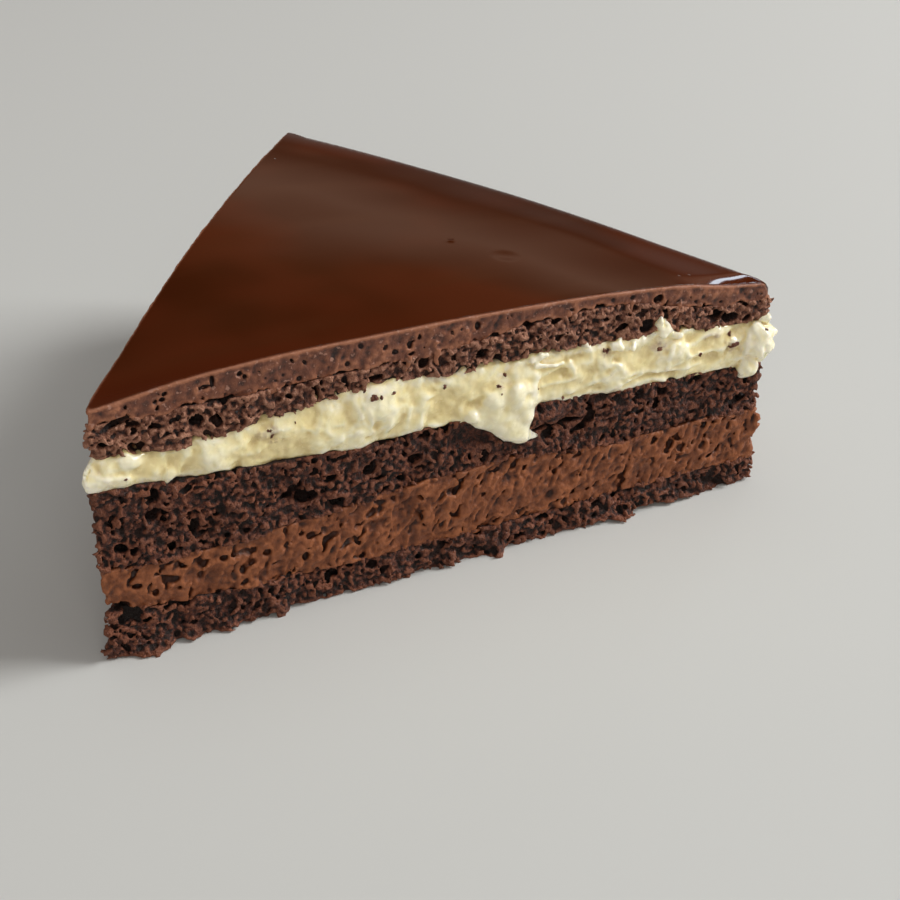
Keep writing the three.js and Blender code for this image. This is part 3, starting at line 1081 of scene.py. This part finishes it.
STAINS = [
    (23.0, 28.5, 1.6, 1.2),
    (24.2, 27.0, 1.2, 0.4),
    (16.0, 30.0, 2.4, 0.5),
    (37.7, 30.2, 0.7, 0.5),
    (48.1, 29.0, 0.5, 0.4),
    (56.4, 27.3, 0.5, 0.5),
    (73.0, 28.3, 1.4, 0.7),
    (81.4, 27.3, 1.4, 0.8),
    (93.8, 24.8, 1.3, 1.6),
    (90.4, 26.6, 1.6, 0.6),
]


PATCH_END, PATCH_FADE = 1.15, 0.6  # where a patch ends and how wide it fades, in its half sizes
PATCH_DEPTH = 2.5  # patches colour what is this near the front cut


def patchy(points, patches, seed):
    """How strongly ragged patches on the front cut colour each point, from 0 to 1."""
    x, y, z = points.T
    strongest = 0
    for at, height, half_width, half_height in patches:
        reach = np.hypot((x - at) / half_width, (z - height) / half_height)
        strongest = np.maximum(strongest, ramp(PATCH_END - reach, 0, PATCH_FADE))
    ragged = ramp(noise(x, y, z, 0.9, seed) + noise(x, y, z, 0.4, seed + 1), -0.6, 0.4)
    return strongest * ragged * (y < PATCH_DEPTH)


def layer_depth(form, lower, upper, seed):
    """A layer's depth, of place and height alone."""
    return lambda place, z: form(place, z, lower, upper, seed)


# Node, lower and upper boundary, the seed of its noise and its material slot, from the base up.
LAYERS = [
    ("sponge_bottom", "base", "mousse_bottom", 100, "sponge"),
    ("mousse_layer", "mousse_bottom", "mousse_top", 200, "mousse"),
    ("sponge_middle", "mousse_top", "cream_bottom", 300, "sponge"),
    ("cream_layer", "cream_bottom", "cream_top", 400, "cream"),
    ("sponge_top", "cream_top", "ganache_bottom", 500, "sponge"),
    ("ganache_top", "ganache_bottom", "top", 600, "ganache"),
]
FORMS = {"sponge": sponge_depth, "mousse": mousse_depth, "cream": cream_depth, "ganache": ganache_depth}
REFINE = {"sponge": 0, "mousse": 1, "cream": 1, "ganache": 2}  # moves onto the smooth surface
SHOWN_DEPTH = {"sponge": 2.6, "mousse": 1.6, "cream": 1.4, "ganache": 1.6}
GLAZE_SKIN, GLAZE_SKIN_ON_RIM = 0.2, 3.0  # how far down the glaze reaches, and how much more
GLAZE_FADE = 0.3  # how wide the glaze's lower edge and its edge at the cuts fade
FROTH_AND_HIGHLIGHT_SHARE, STAIN_SHARE = 0.55, 0.6  # how strong the froth and painted highlights, and the stains, are at most
HOLE_SHADE_FROM, HOLE_SHADE_TO = 0.7, 1.3  # cream this far in gets painted shade

soaked = sponge_material("sponge_soaked", [
    (0.18, srgb(166, 118, 94)),
    (0.38, srgb(126, 80, 60)),
    (0.54, srgb(94, 54, 39)),
    (0.72, srgb(24, 10, 6)),
], srgb(84, 47, 34))
plain_sponge = sponge_material("sponge", [
    (0.18, srgb(130, 78, 55)),
    (0.36, srgb(95, 50, 34)),
    (0.50, srgb(66, 32, 21)),
    (0.66, srgb(20, 8, 4)),
], srgb(53, 25, 17))
soft_looks = {"mousse": mousse_material(), "cream": cream_material(), "ganache": ganache_material()}
for name, lower, upper, seed, slot in LAYERS:
    depth = layer_depth(FORMS[slot], lower, upper, seed)
    piece, points = make_layer(name, lower, upper, depth, REFINE[slot], SHOWN_DEPTH[slot])
    sponge_look = soaked if name == "sponge_top" else plain_sponge
    piece.data.materials.append(soft_looks.get(slot, sponge_look))
    place = Place(*points.T[:2])
    if slot == "ganache":
        below = glaze_height(place) - points[:, 2]
        skin = GLAZE_SKIN + GLAZE_SKIN_ON_RIM * place.rimness
        on_top = 1 - ramp(below, skin, skin + GLAZE_FADE)
        off_cut = ramp(place.side + 2 * place.rimness, 0.0, GLAZE_FADE)
        give_values(piece, "glazed", on_top * off_cut)
    if slot == "cream":
        cream_face = depth
        # Whiter froth and painted highlights on the cream's lit edges and bulges.
        give_values(piece, "froth_and_highlight", FROTH_AND_HIGHLIGHT_SHARE * patchy(points, FROTH_AND_HIGHLIGHTS, 31))
        # Painted shade: cream that shows through a hole in the crumb is darkened with the stain colour,
        # as dark as the crumb beside it.
        inside = ramp(place.side, HOLE_SHADE_FROM, HOLE_SHADE_TO)
        stained = STAIN_SHARE * patchy(points, STAINS, 33)
        give_values(piece, "stain_and_shade", np.maximum(stained, inside))
    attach(piece, "root")
    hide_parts(name)

# --------
# Crumbs on the cream's face
# --------
# Place along the front cut, height and half width.
CRUMBS = [
    (37.7, 30.2, 0.55),
    (38.6, 30.0, 0.35),
    (48.1, 29.0, 0.3),
    (56.1, 27.3, 0.3),
    (57.2, 28.6, 0.35),
    (73.0, 28.3, 0.4),
    (81.8, 26.8, 0.45),
    (88.6, 24.4, 0.3),
    (93.6, 26.2, 0.5),
    (94.4, 24.6, 0.6),
    (16.4, 29.6, 0.4),
    (23.6, 28.0, 0.35),
    (4.2, 27.0, 0.25),
    (66.4, 22.8, 0.3),
]
MORE_CRUMBS, CRUMB_SEED = 34, 77  # scattered ones, and the seed of where they lie
CRUMB_SIZES = (0.14, 0.34)
TIP_CLEAR = 3  # no scattered crumb is nearer to the tip than this
CRUMB_DROP = 0.3  # how far below the cream's top the highest of them lie
CRUMB_RANGE = 0.9  # share of the cream's height that they lie over, most of them high up
CRUMB_FORM = [1.25, 0.95, 0.7]  # a crumb's half length, width and height, by its size
CRUMB_SHADE = 0.45
JUST_INSIDE = 0.3
CRUMB_SUNK = 0.35  # share of its size that a crumb is sunk into the cream
SEARCH = np.arange(-3.5, 2.5, 0.05)  # how far in a crumb's resting place is looked for


def side_at(way):
    """A point of the slice's plain sides, so far round from the tip, and the way inward."""
    if way < CAKE_RADIUS:
        return np.array([way, 0.0]), np.array([0.0, 1.0])
    if way < CAKE_RADIUS + RIM_LENGTH:
        angle = (way - CAKE_RADIUS) / CAKE_RADIUS
        outward = np.array([math.cos(angle), math.sin(angle)])
        return rim_reach(angle) * outward, -outward
    radius = 2 * CAKE_RADIUS + RIM_LENGTH - way
    sine, cosine = math.sin(SLICE_ANGLE), math.cos(SLICE_ANGLE)
    return radius * np.array([cosine, sine]), np.array([sine, -cosine])


def crumb_points(shape, way, height, size, seed):
    """One crumb's points, where it rests on the cream."""
    start, inward = side_at(way)
    x, y = (start[:, None] + inward[:, None] * SEARCH).reshape(2, -1)
    met = np.argmax(cream_face(Place(x, y), np.full(x.shape, height)) > 0)
    middle = np.array([x[met], y[met], height]) + CRUMB_SUNK * size * np.array([*inward, 0])
    lumpy = 1 + 0.5 * noise(*(shape.T * 1.3 + 5 * seed), 1.0, 41)
    lumpy = lumpy + 0.4 * noise(*(shape.T * 2.6 + 5 * seed), 1.0, 42)
    return middle + shape * lumpy[:, None] * np.roll(CRUMB_FORM, seed) * size


ball = bmesh.new()
bmesh.ops.create_icosphere(ball, subdivisions=3, radius=1.0)
ball_points = np.array([vertex.co for vertex in ball.verts])
ball_facets = np.array([[vertex.index for vertex in facet.verts] for facet in ball.faces])
ball.free()
draw = np.random.default_rng(CRUMB_SEED)
spots = list(CRUMBS)
for _ in range(MORE_CRUMBS):
    way = draw.uniform(TIP_CLEAR, 2 * CAKE_RADIUS + RIM_LENGTH - TIP_CLEAR)
    start, inward = side_at(way)
    place = Place(*(start + JUST_INSIDE * inward).reshape(2, 1))
    lowest, highest = boundary("cream_bottom", place)[0], boundary("cream_top", place)[0]
    share = 1 - draw.random() ** 2 * CRUMB_RANGE
    height = lowest + (highest - lowest) * share - CRUMB_DROP
    spots.append((way, height, draw.uniform(*CRUMB_SIZES)))
points = [crumb_points(ball_points, *spot, seed) for seed, spot in enumerate(spots)]
facets = [ball_facets + number * len(ball_points) for number in range(len(spots))]
crumbs = make_mesh("crumbs_visual", np.concatenate(points), np.concatenate(facets))
give_values(crumbs, "painted_shade", np.full(len(crumbs.data.vertices), CRUMB_SHADE))
crumbs.data.materials.append(soaked)
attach(crumbs, "root")

# --------
# Floor, light and camera
# --------
scene = bpy.context.scene
scene.view_settings.view_transform = "Standard"

FLOOR_REACH = 3.0
CAKE_MIDDLE = Vector((0.0, 0.0, 0.02))
bpy.ops.mesh.primitive_plane_add(size=2 * FLOOR_REACH)
floor = bpy.context.object
floor.name = "floor"
floor_nodes = Nodes("floor")
floor_nodes.set(Base_Color=srgb(205, 207, 205), Roughness=0.6, Specular_IOR_Level=0.2)
floor.data.materials.append(floor_nodes.material)


def add_area_light(name, place, size, power, colour):
    """A rectangular lamp that faces the cake."""
    data = bpy.data.lights.new(name, "AREA")
    data.shape = "RECTANGLE"
    data.size, data.size_y = size
    data.energy = power
    data.color = colour
    lamp = bpy.data.objects.new(name, data)
    lamp.location = place
    away = CAKE_MIDDLE - Vector(place)
    lamp.rotation_euler = away.to_track_quat("-Z", "Y").to_euler()
    bpy.context.collection.objects.link(lamp)


add_area_light("window", (1.05, -0.3, 0.75), (0.6, 0.6), 17.0, (1.0, 0.99, 0.97))
add_area_light("front", (-0.5, -1.2, 0.75), (1.0, 0.8), 5.0, (1.0, 0.96, 0.9))
add_area_light("glint", (1.46, 1.17, 0.77), (0.36, 0.14), 0.9, (0.75, 0.87, 1.0))

# The world's light, by height: bright overhead and at the horizon, brown between them, where
# the glaze's mirror image of it is seen.
SKY = [
    (0.0, (0.42, 0.40, 0.38, 1)),
    (1.0, (1.0, 0.98, 0.95, 1)),
    (0.1, (0.26, 0.22, 0.19, 1)),
    (0.18, (0.15, 0.07, 0.04, 1)),
    (0.27, (0.62, 0.38, 0.26, 1)),
    (0.36, (0.26, 0.11, 0.05, 1)),
    (0.44, (0.12, 0.05, 0.02, 1)),
    (0.52, (0.03, 0.015, 0.01, 1)),
    (0.64, (0.05, 0.04, 0.035, 1)),
    (0.85, (0.9, 0.9, 0.9, 1)),
]
SKY_STRENGTH = 0.6
world = bpy.data.worlds.new("studio")
world.use_nodes = True
scene.world = world
sky = world.node_tree
background = sky.nodes["Background"]
direction = sky.nodes.new("ShaderNodeTexCoord")
height = sky.nodes.new("ShaderNodeSeparateXYZ")
shades = sky.nodes.new("ShaderNodeValToRGB")
sky.links.new(direction.outputs["Generated"], height.inputs[0])
sky.links.new(height.outputs["Z"], shades.inputs["Fac"])
sky.links.new(shades.outputs["Color"], background.inputs["Color"])
fill_ramp(shades, SKY)
background.inputs["Strength"].default_value = SKY_STRENGTH

# The camera stands where the photograph was taken from.
CAMERA_PLACE = (np.array([-46.69, -181.75, 145.78]) + TIP) * MILLIMETRE
CAMERA_PITCH = math.radians(31.714)
CAMERA_TURN = math.radians(-27.815)
CAMERA_ROLL = math.radians(1.09)
FRAME_SIDE = 900
FOCAL_PIXELS = 1795.7
SENSOR_WIDTH = 36

turn = Matrix.Rotation(CAMERA_TURN, 4, "Z")
tilt = Matrix.Rotation(math.pi / 2 - CAMERA_PITCH, 4, "X")
roll = Matrix.Rotation(CAMERA_ROLL, 4, "Z")
lens = bpy.data.cameras.new("camera")
lens.sensor_width = SENSOR_WIDTH
lens.lens = lens.sensor_width * FOCAL_PIXELS / FRAME_SIDE
camera = bpy.data.objects.new("camera", lens)
camera.matrix_world = Matrix.Translation(Vector(CAMERA_PLACE)) @ turn @ tilt @ roll
bpy.context.collection.objects.link(camera)
scene.camera = camera
